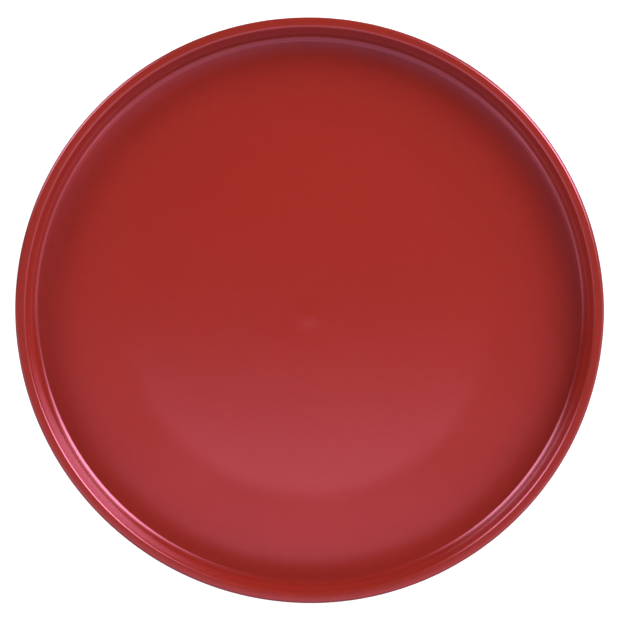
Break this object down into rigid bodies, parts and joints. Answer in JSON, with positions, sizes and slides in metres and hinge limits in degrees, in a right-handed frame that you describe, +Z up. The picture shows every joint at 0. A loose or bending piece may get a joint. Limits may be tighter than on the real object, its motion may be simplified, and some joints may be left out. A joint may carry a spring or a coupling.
{
  "type": "dinner plate",
  "caption": "Round walled dinner plate in satin red glazed stoneware, with a flat crowned well, tight cove, low flared wall, thick rounded lip and bare foot ring.",
  "frame": {"origin": "centre of the foot ring's contact plane, where the plate stands on the table", "axes": "+Z up, along the plate's axis of revolution, out of the well; X and Y are equal in a round plate"},
  "size_m": [0.265, 0.265, 0.024],
  "materials": {
    "red_glaze": "satin",
    "fired_clay": "matte"
  },
  "bodies": {
    "root": {"stoneware_body": "fired_clay", "glaze_coat": "red_glaze", "foot_well_glaze": "red_glaze"}
  },
  "joints": []
}
